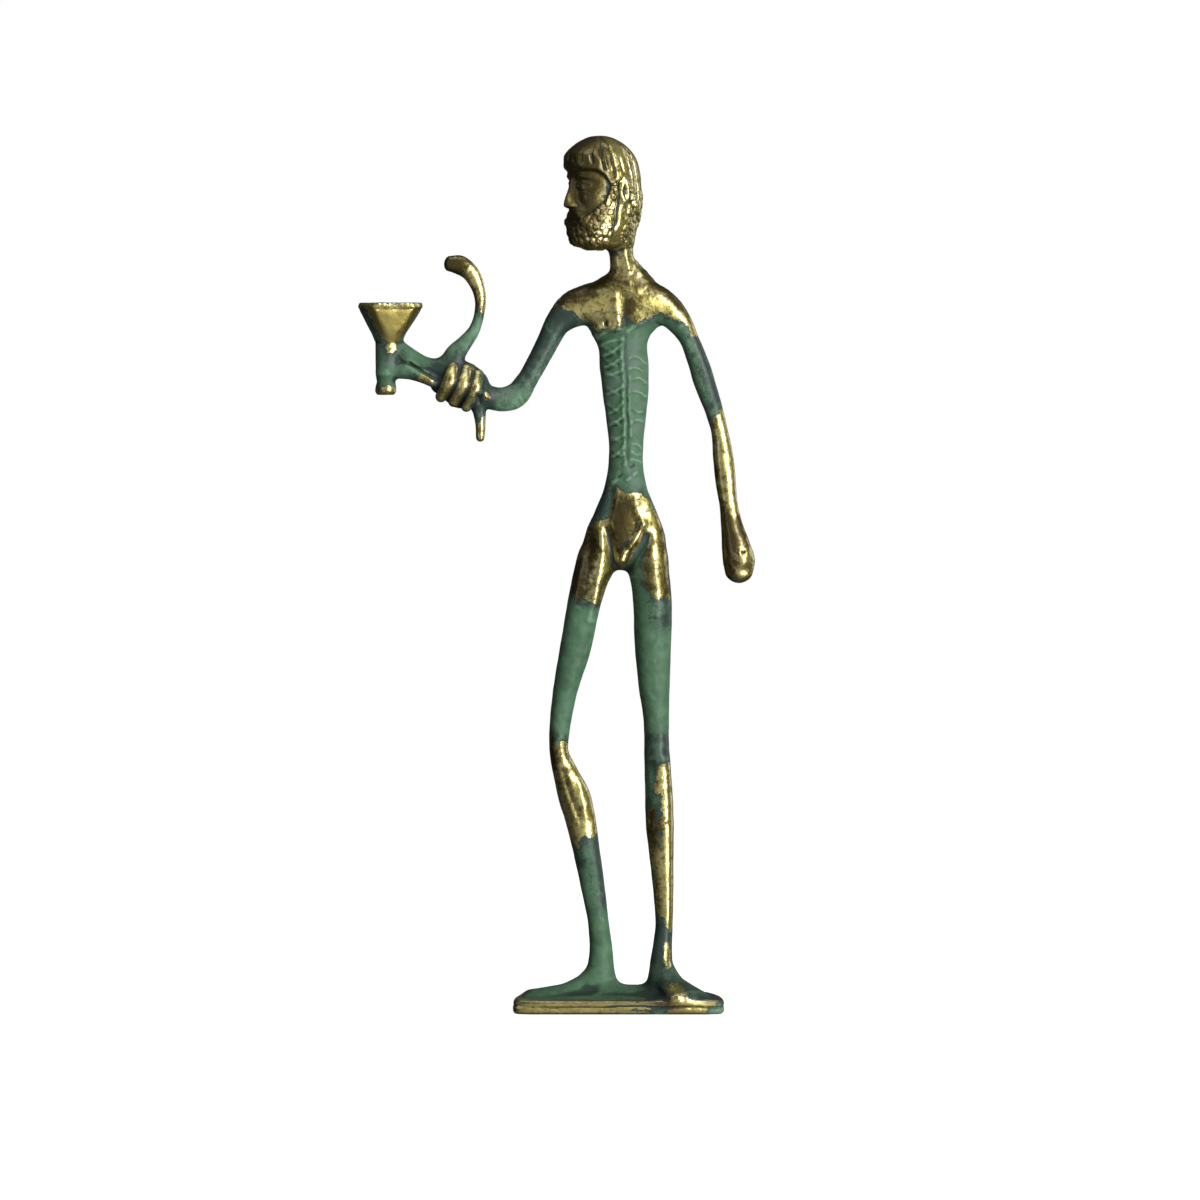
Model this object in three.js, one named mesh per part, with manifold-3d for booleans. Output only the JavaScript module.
// A slim standing healer god in solid bronze, cast in one piece with the snake and goblet in his raised
// right hand and with the flat plate under his feet.
// Millimetres, +Z up. The origin is on the plate's underside, midway along the plate and below the spine.
// The chest faces -Y, so the raised right arm is on the -X side, and the head is turned towards -X.
import * as THREE from "three";
import { mergeVertices } from "three/addons/utils/BufferGeometryUtils.js";
import Module from "manifold-3d";

const wasm = await Module();
wasm.setup();

// Driving dimensions
const PLATE = { halfLength: 25.3, widestY: -9, front: 4.1, back: 20, frontSquareness: 7, backSquareness: 2.1 };
const HEAD = { at: [-3.95, -3.1, 197.2], turn: 55, strands: 14, faceCrowding: 0.3 };
const GOBLET = { foot: [-55.5, -5.5, 147.8], lean: 3.4, height: 21.8, rim: 7.7 };
const FLAT = { atRim: 6.5, atFoot: 2.95, foot: 11.8 };
const CUP = { rim: 5.8, floor: 1.3, depth: 8.4 };
const RIBS = { right: 8, left: 6, top: 158, pitch: 3.5, rise: 2.6, half: 0.42, proud: 0.5 };

// Stations along a limb: [x, y, z, half width as seen from the front, half depth front to back]
const NECK = [
  [1.2, 0.6, 190, 3.3, 3.3],
  [1.2, 0.4, 184.5, 2.85, 3.0],
  [1.2, 0.3, 181.4, 2.6, 2.75],
  [1.3, 0.2, 178.8, 3.2, 2.9],
  [1.4, 0.1, 176.4, 4.8, 3.1],
  [1.4, 0, 174.0, 7.6, 3.3],
  [1.4, 0, 170.5, 9.0, 3.6],
];
const TORSO = [
  [1.0, 0, 168, 10.8, 3.7],
  [1.0, 0, 164.4, 8.9, 3.9],
  [1.2, 0, 161, 6.7, 3.9],
  [1.4, 0, 154, 5.85, 3.6],
  [1.7, 0, 147.5, 5.4, 3.4],
  [1.8, 0, 141.5, 4.7, 3.1],
  [1.8, 0, 135, 4.1, 2.9],
  [1.7, 0, 129.5, 4.3, 3.0],
  [1.7, 0, 124.5, 5.3, 3.5],
  [1.7, 0, 118.7, 7.6, 4.2],
  [1.6, 0, 113, 9.5, 4.6],
  [1.5, 0, 110, 8.6, 4.5],
];
const BENT_LEG = [
  [-3.0, 0, 113, 4.4, 3.4],
  [-5.1, 0, 108, 4.9, 4.2],
  [-6.5, 0, 104.4, 4.4, 4.3],
  [-8.2, 0.2, 98.4, 3.85, 4.1],
  [-10.4, 0.5, 87, 3.6, 3.7],
  [-13.0, 0.9, 75.5, 2.85, 3.1],
  [-14.1, 1.1, 67.5, 2.5, 2.8],
  [-14.3, 1.2, 61.5, 2.3, 2.5],
  [-12.7, 1.4, 56.4, 3.0, 2.6],
  [-10.8, 1.7, 51.2, 3.85, 2.9],
  [-9.4, 1.9, 46.2, 3.7, 2.9],
  [-7.9, 2.1, 39, 3.15, 2.7],
  [-6.3, 2.3, 29.5, 2.8, 2.45],
  [-4.7, 2.6, 19, 2.4, 2.3],
  [-4.2, 2.8, 13, 2.7, 2.5],
  [-4.2, 2.8, 8.8, 3.6, 3.2],
  [-4.3, 2.6, 5.4, 4.8, 3.9],
  [-4.3, 2.4, 2.8, 6.6, 5.2],
];
const STRAIGHT_LEG = [
  [5.2, 0, 113, 5.0, 3.6],
  [6.5, 0, 109, 5.3, 4.3],
  [7.4, -0.1, 104.5, 4.8, 4.7],
  [8.1, -0.2, 98.6, 4.65, 4.6],
  [8.25, -0.3, 88, 4.4, 4.2],
  [8.55, -0.4, 78.5, 3.8, 3.7],
  [9.1, -0.5, 69, 3.05, 3.2],
  [9.2, -0.7, 61.5, 3.0, 3.4],
  [9.5, -0.1, 54, 3.15, 3.3],
  [9.8, 0.3, 44.5, 3.2, 3.3],
  [10.3, 0.6, 36, 2.8, 3.0],
  [10.8, 0.9, 26, 2.25, 2.5],
  [10.8, 1.1, 19.5, 1.95, 2.3],
  [10.5, 1.1, 14, 2.4, 2.6],
  [11.0, 0.9, 9.6, 3.6, 3.3],
  [11.6, 0.5, 6.4, 5.0, 4.2],
  [11.8, 0.1, 3.2, 7.4, 5.8],
];
// Both arms and the shoulders between them, from the raised wrist to the hanging fist
const ARMS = [
  [-33.8, -5.6, 148.4, 3.4, 2.4],
  [-31.2, -5.2, 147.3, 2.8, 2.3],
  [-28.2, -4.4, 146.6, 2.85, 2.3],
  [-25.1, -3.4, 147.5, 3.0, 2.4],
  [-22.4, -2.4, 151.1, 2.45, 2.3],
  [-19.5, -1.2, 155.8, 2.45, 2.4],
  [-17.0, -0.6, 160.2, 2.7, 2.6],
  [-14.4, -0.3, 164.4, 3.05, 2.9],
  [-10.9, -0.1, 167.0, 4.2, 3.4],
  [-6.4, 0, 168.8, 5.1, 3.8],
  [0.6, 0, 169.5, 5.6, 3.9],
  [7.6, 0, 169.7, 5.2, 3.8],
  [11.7, 0, 167.8, 4.3, 3.4],
  [14.6, 0, 164.9, 3.1, 2.9],
  [16.8, 0.1, 161.2, 2.2, 2.5],
  [18.9, 0.2, 156.2, 2.25, 2.45],
  [20.8, 0.2, 150.4, 2.35, 2.4],
  [22.7, 0, 144.6, 2.05, 2.15],
  [24.0, -0.4, 139.6, 1.9, 2.0],
  [25.1, -0.9, 133, 2.2, 2.1],
  [25.7, -1.4, 127, 2.2, 2.1],
  [26.3, -1.9, 121.5, 2.1, 2.1],
  [27.1, -2.4, 116.4, 2.5, 2.4],
  [28.1, -2.8, 111.5, 3.3, 3.0],
  [28.8, -3.0, 107.8, 3.75, 3.2],
  [28.7, -3.0, 105.9, 3.2, 2.9],
];
const PALM = [
  [-33.7, -5.4, 148.3, 4.1, 2.4],
  [-37.0, -5.6, 149.4, 5.8, 2.8],
  [-40.8, -5.6, 150.3, 4.4, 2.6],
  [-43.4, -5.6, 150.4, 3.0, 2.0],
];
const SNAKE = [
  [-40.2, -5.2, 178.9, 1.4, 1.2],
  [-38.2, -5.2, 178.4, 1.95, 1.5],
  [-35.9, -5.3, 176.9, 1.85, 1.45],
  [-34.2, -5.4, 174.6, 1.65, 1.4],
  [-33.3, -5.5, 170.6, 1.3, 1.35],
  [-33.5, -5.6, 166.6, 1.15, 1.3],
  [-34.6, -5.6, 163.0, 1.25, 1.35],
  [-36.7, -5.6, 160.2, 1.65, 1.6],
  [-39.2, -5.6, 157.4, 2.3, 1.9],
  [-40.6, -5.6, 153.6, 2.6, 2.0],
];
const SNAKE_TAIL = [
  [-34.4, -5.4, 146.4, 1.9, 1.7],
  [-33.2, -5.4, 143.2, 1.3, 1.35],
  [-32.9, -5.4, 140.4, 1.15, 1.2],
  [-33.0, -5.4, 137.6, 1.05, 1.1],
];
const INDEX_FINGER = [
  [-41.4, -5.6, 153.6, 2.3, 1.9],
  [-46.6, -5.7, 154.3, 2.2, 1.8],
  [-50.4, -5.6, 156.4, 2.3, 1.8],
  [-54.2, -5.5, 159.6, 2.0, 1.8],
];
const THUMB = [
  [-41.8, -6.1, 149.2, 1.9, 1.9],
  [-46.0, -6.9, 152.1, 1.8, 1.8],
  [-50.0, -6.4, 153.2, 2.2, 1.8],
  [-53.2, -5.8, 153.3, 2.2, 1.8],
];
// Three curled fingers: knuckle, middle joint and tip, with the finger's half width
const CURLED_FINGERS = [
  [[-39.0, -6.4, 154.8], [-39.8, -9.0, 151.7], [-42.0, -7.6, 147.7], 1.35],
  [[-36.5, -6.4, 153.8], [-37.0, -9.1, 150.6], [-39.1, -7.7, 146.6], 1.3],
  [[-33.6, -6.2, 152.6], [-34.2, -8.8, 149.6], [-36.3, -7.5, 145.3], 1.25],
];
// Stations along a foot: [x, y, z, half width, half height]
const PROFILE_FOOT = [
  [-3.4, 2.6, 5.0, 2.6, 2.4],
  [-5.6, 2.2, 5.2, 3.2, 3.4],
  [-8.8, 1.4, 4.6, 3.2, 3.1],
  [-12.4, 0.2, 3.9, 3.2, 2.3],
  [-16.4, -1.0, 3.5, 3.4, 1.8],
  [-19.8, -2.0, 3.1, 2.9, 1.4],
];
const FRONTAL_FOOT = [
  [10.6, 2.8, 5.2, 2.6, 2.6],
  [11.6, -1.4, 6.0, 3.1, 3.0],
  [13.3, -5.2, 5.3, 3.8, 2.2],
  [15.4, -8.8, 4.7, 4.4, 1.5],
  [16.6, -11.2, 4.2, 4.4, 1.3],
];
// The rim of the plate, two lips with a groove between them: [height, how far the outline is drawn in]
const PLATE_LEVELS = [
  [0, 0.7],
  [0.5, 0.1],
  [1.2, 0],
  [1.7, 0.35],
  [2.3, 0],
  [2.9, 0.4],
  [3.3, 1.4],
];
const PLATE_TOP = 3.5;
// Cross-sections of the head, upright: [height over the eyes, front, back, half width]
const HEAD_SECTIONS = [
  [-14.2, 5.4, 8.4, 2.4],
  [-13.4, 7.6, 9.0, 4.0],
  [-12.0, 8.7, 9.4, 5.0],
  [-9.5, 8.9, 9.7, 6.0],
  [-6.5, 8.7, 9.9, 6.5],
  [-3.5, 8.5, 10.0, 6.8],
  [-0.5, 8.5, 10.0, 7.0],
  [2.5, 8.9, 9.9, 7.0],
  [5.0, 8.7, 9.5, 6.8],
  [7.5, 7.6, 8.5, 6.1],
  [9.6, 5.9, 6.8, 4.9],
  [10.9, 4.0, 4.9, 3.5],
  [11.5, 2.0, 2.8, 1.8],
];
const CROWN = 11.7;
// Heights at which the head is drawn, closest at the eyes, nose and mouth
const HEAD_LEVELS = [
  ...[-14.2, -13.6, -12.6, -11.6, -10.6, -9.7, -8.9, -8.3, -7.7, -7.1, -6.4, -5.6, -4.7, -3.7],
  ...[-2.7, -1.8, -1.2, -0.6, 0, 0.6, 1.2, 1.9, 2.7, 3.5, 4.2, 5, 6.8, 8.6, 10.1, 11.1],
];
// Goblet outline from the foot up: [radius, height]
const GOBLET_OUTLINE = [
  [0, 0],
  [2.0, 0],
  [2.5, 0.8],
  [2.45, 1.8],
  [2.15, 3.1],
  [2.6, 5.0],
  [3.05, 12.4],
  [4.1, 14.6],
  [5.85, 17.6],
];

const rising = (low, high, value) => THREE.MathUtils.smoothstep(value, low, high);
const falling = (low, high, value) => 1 - rising(low, high, value);
const bump = (x, z, halfX, halfZ) => Math.exp(-((x / halfX) ** 2) - (z / halfZ) ** 2);

// A closed solid from a three.js geometry: only positions are kept, and its seams are merged.
function solid(geometry) {
  const bare = geometry.index ? geometry.toNonIndexed() : geometry.clone();
  const merged = mergeVertices(
    new THREE.BufferGeometry().setAttribute("position", bare.getAttribute("position")),
    1e-4,
  );
  return new wasm.Manifold(
    new wasm.Mesh({
      numProp: 3,
      vertProperties: merged.attributes.position.array,
      triVerts: new Uint32Array(merged.index.array),
    }),
  );
}

function geometryOf(manifold) {
  const mesh = manifold.getMesh();
  const geometry = new THREE.BufferGeometry();
  geometry.setAttribute("position", new THREE.BufferAttribute(mesh.vertProperties, 3));
  geometry.setIndex(new THREE.BufferAttribute(mesh.triVerts, 1));
  geometry.computeVertexNormals();
  return geometry;
}

// Rings of equal point count, closed at both ends by a single point.
function skin(firstTip, rings, lastTip) {
  const sides = rings[0].length;
  const points = [firstTip, ...rings.flat(), lastTip];
  const faces = [];
  const at = (ring, k) => 1 + ring * sides + (k % sides);
  const last = points.length - 1;
  for (let k = 0; k < sides; k++) {
    faces.push(0, at(0, k), at(0, k + 1));
    faces.push(last, at(rings.length - 1, k + 1), at(rings.length - 1, k));
    for (let ring = 0; ring < rings.length - 1; ring++) {
      faces.push(at(ring, k), at(ring + 1, k), at(ring + 1, k + 1));
      faces.push(at(ring, k), at(ring + 1, k + 1), at(ring, k + 1));
    }
  }
  const geometry = new THREE.BufferGeometry().setFromPoints(points);
  geometry.setIndex(faces);
  return geometry;
}

// A round-ended limb whose elliptical section is square to a smooth curve through its stations.
function limb(stations, { sides = 12, rings = 12, depthAxis = [0, 1, 0], rounding = [0.7] } = {}) {
  const curve = new THREE.CatmullRomCurve3(stations.map(([x, y, z]) => new THREE.Vector3(x, y, z)));
  const sizes = new THREE.CatmullRomCurve3(
    stations.map(([, , , wide, deep]) => new THREE.Vector3(wide, deep, 0)),
  );
  const depth = new THREE.Vector3(...depthAxis);
  const section = (t, scale, shift) => {
    const along = curve.getTangent(t);
    const side = new THREE.Vector3().crossVectors(along, depth).normalize();
    const front = new THREE.Vector3().crossVectors(side, along);
    const { x: wide, y: deep } = sizes.getPoint(t);
    const centre = curve.getPoint(t).addScaledVector(along, shift * Math.min(wide, deep));
    return Array.from({ length: sides }, (_, k) => {
      const angle = (2 * Math.PI * k) / sides;
      return centre
        .clone()
        .addScaledVector(side, scale * wide * Math.cos(angle))
        .addScaledVector(front, scale * deep * Math.sin(angle));
    });
  };
  const body = Array.from({ length: rings }, (_, k) => section(k / (rings - 1), 1, 0));
  const starts = rounding.map((scale) => section(0, scale, -scale));
  const ends = rounding.map((scale) => section(1, scale, scale));
  return skin(section(0, 0, -1)[0], [...starts, ...body, ...ends], section(1, 0, 1)[0]);
}

function ball(centre, radii, widthSegments = 10, heightSegments = 7) {
  return new THREE.SphereGeometry(1, widthSegments, heightSegments)
    .scale(...radii)
    .translate(...centre);
}

// The plate has a straight front edge with tight corners and a bowed back.
function plate() {
  const { halfLength, widestY, front, back, frontSquareness, backSquareness } = PLATE;
  const sides = 40;
  const outline = ([z, inset]) =>
    Array.from({ length: sides }, (_, k) => {
      const angle = (-2 * Math.PI * k) / sides;
      const [c, s] = [Math.cos(angle), Math.sin(angle)];
      const [reach, squareness] = s < 0 ? [front, frontSquareness] : [back, backSquareness];
      const stretch = (Math.abs(c) ** squareness + Math.abs(s) ** squareness) ** (-1 / squareness);
      return new THREE.Vector3(
        c * stretch * (halfLength - inset),
        s * stretch * (reach - inset) + widestY,
        z,
      );
    });
  return skin(
    new THREE.Vector3(0, -1, 0),
    PLATE_LEVELS.map(outline),
    new THREE.Vector3(0, -1, PLATE_TOP),
  );
}

// A thick-walled goblet turned about its own axis, with the front of its bowl ground to a flat.
function goblet() {
  const { foot, lean, height, rim } = GOBLET;
  const inside = height - CUP.depth;
  const profile = [
    ...GOBLET_OUTLINE,
    [rim, height - 0.9],
    [rim - 0.3, height],
    [CUP.rim + 0.3, height],
    [CUP.rim, height - 0.4],
    [CUP.floor + 0.6, inside + 0.6],
    [CUP.floor, inside],
    [0, inside - 0.2],
  ].map(([radius, z]) => new THREE.Vector2(radius, z));
  const turned = solid(new THREE.LatheGeometry(profile, 20).rotateX(Math.PI / 2));
  const [run, climb] = [FLAT.atRim - FLAT.atFoot, height - FLAT.foot];
  const reach = Math.hypot(run, climb);
  const grinder = new THREE.BoxGeometry(30, 10, reach + 1)
    .translate(0, -5, (reach + 1) / 2)
    .rotateX(Math.atan2(run, climb))
    .translate(0, -FLAT.atFoot, FLAT.foot);
  const place = new THREE.Matrix4()
    .makeTranslation(...foot)
    .multiply(new THREE.Matrix4().makeRotationY(THREE.MathUtils.degToRad(lean)));
  return turned.subtract(solid(grinder)).transform(place.elements);
}

// Relief of the face, hair and beard in millimetres. x runs across the face, z is height over the eyes,
// and angle is the turn from the nose towards the nape.
function headRelief(x, z, angle) {
  const side = Math.abs(x);
  const turned = Math.abs(angle);
  const facing = falling(1.1, 1.6, turned);
  const noseHalf = 0.85 + 0.5 * falling(-4.8, -1, z);
  const noseRise = 0.5 + 2.1 * falling(-4.4, 1.4, z);
  const nose = noseRise * bump(x, 0, noseHalf, 1) * rising(-5.6, -4.6, z) * falling(1.2, 2.6, z);
  const face =
    nose +
    0.5 * bump(side - 3, z - 2.1, 2.2, 0.6) -
    1.15 * bump(side - 2.8, z - 0.1, 1.9, 1.5) +
    0.85 * bump(side - 3, z + 0.1, 1.5, 0.75) +
    0.35 * bump(side - 4.4, z + 2.8, 1.8, 1.4) +
    0.5 * bump(side - 1.4, z + 6.5, 1.4, 0.5) +
    0.5 * bump(x, z + 8.4, 1.4, 0.4);
  const hairEdge = 4.2 - 3.4 * rising(0.9, 1.4, turned) - 4.8 * rising(1.7, 2.1, turned);
  const hair = rising(hairEdge - 0.35, hairEdge + 0.35, z);
  const comb = 0.22 * Math.cos(HEAD.strands * angle) * rising(hairEdge, hairEdge + 1.2, z);
  const fringe = 0.35 * bump(0, z - hairEdge - 0.5, 1, 0.5) * facing;
  const beardEdge = -8.6 + 4.6 * rising(2.4, 5.6, side) + 3.2 * rising(1.3, 1.6, turned);
  const beard = falling(beardEdge - 0.5, beardEdge + 0.5, z) * falling(1.9, 2.1, turned);
  const nape = falling(-4, -2.6, z) * rising(1.9, 2.1, turned) * falling(2.4, 2.8, turned);
  const curls = 0.42 * Math.cos(12 * angle) * Math.cos(2.6 * z);
  const ear = 0.8 * bump(turned - 1.62, z + 1.2, 0.12, 2.4);
  return facing * face + hair * (0.5 + comb) + fringe + beard * (0.6 + curls) + nape * curls + ear;
}

function head() {
  const { at, turn, faceCrowding } = HEAD;
  const sides = 42;
  const sections = new THREE.CubicInterpolant(
    HEAD_SECTIONS.map(([z]) => z),
    HEAD_SECTIONS.flatMap(([, ...sizes]) => sizes),
    3,
  );
  const rings = HEAD_LEVELS.map((z) => {
    const [front, back, half] = sections.evaluate(z);
    const reach = (front + back) / 2;
    return Array.from({ length: sides }, (_, k) => {
      const step = (-2 * Math.PI * k) / sides;
      const angle = step - faceCrowding * Math.sin(step);
      const turned = angle < -Math.PI ? angle + 2 * Math.PI : angle;
      const point = new THREE.Vector3(
        half * Math.sin(angle),
        (back - front) / 2 - reach * Math.cos(angle),
        z,
      );
      const outward = new THREE.Vector3(reach * Math.sin(angle), -half * Math.cos(angle), 0).normalize();
      return point.addScaledVector(outward, headRelief(point.x, z, turned));
    });
  });
  return skin(new THREE.Vector3(0, 1.5, -14.5), rings, new THREE.Vector3(0, 0.4, CROWN))
    .rotateZ(THREE.MathUtils.degToRad(-turn))
    .translate(...at);
}

// Slanting ribs on both sides of the middle of the torso.
function ribs() {
  const { right, left, top, pitch, rise, half, proud } = RIBS;
  const rib = (x0, z0, x1, z1, front) =>
    limb(
      [
        [x0, front + 0.9, z0, half * 0.8, proud],
        [(x0 + x1) / 2, front + 0.2, (z0 + z1) / 2, half, proud],
        [x1, front, z1, half * 0.7, proud],
      ],
      { sides: 5, rings: 3, rounding: [] },
    );
  const onRight = Array.from({ length: right }, (_, k) => {
    const z = top - pitch * k;
    return rib(-3.4 + 0.2 * k, z - rise, 0.7 + 0.12 * k, z, -3.6 + 0.09 * k);
  });
  const onLeft = Array.from({ length: left }, (_, k) => {
    const z = top - 1.5 - 1.2 * pitch * k;
    return rib(5.6 - 0.25 * k, z - 1.2, 2.6, z, -3.5 + 0.11 * k);
  });
  return [...onRight, ...onLeft];
}

const curledFingers = CURLED_FINGERS.map(([knuckle, joint, tip, half]) =>
  limb([knuckle, joint, tip].map((at) => [...at, half, half]), { sides: 8, rings: 6 }),
);

const forms = [
  plate(),
  limb(BENT_LEG, { sides: 12, rings: 19 }),
  limb(STRAIGHT_LEG, { sides: 12, rings: 18 }),
  limb(PROFILE_FOOT, { sides: 12, rings: 7, depthAxis: [0, 0, 1] }),
  limb(FRONTAL_FOOT, { sides: 12, rings: 6, depthAxis: [0, 0, 1] }),
  limb(TORSO, { sides: 16, rings: 16 }),
  ball([0.7, -4.7, 109.2], [1.3, 1.2, 1.9]),
  limb(NECK, { sides: 12, rings: 9 }),
  head(),
  limb(ARMS, { sides: 12, rings: 34 }),
  limb(PALM, { sides: 10, rings: 5 }),
  limb(INDEX_FINGER, { sides: 8, rings: 5 }),
  limb(THUMB, { sides: 8, rings: 5 }),
  ...curledFingers,
  limb(SNAKE, { sides: 10, rings: 17 }),
  limb(SNAKE_TAIL, { sides: 8, rings: 4 }),
  ...ribs(),
];
const joined = [...forms.map(solid), goblet()].reduce((whole, form) => whole.add(form));
const casting = joined.trimByPlane([0, 0, 1], 0);

const bronze = new THREE.MeshStandardMaterial({ color: 0x6f7a4c, metalness: 0.7, roughness: 0.4 });
const figure = new THREE.Mesh(geometryOf(casting), bronze);
figure.name = "cast_figure";

const statue = new THREE.Group();
statue.add(figure);
export default statue;
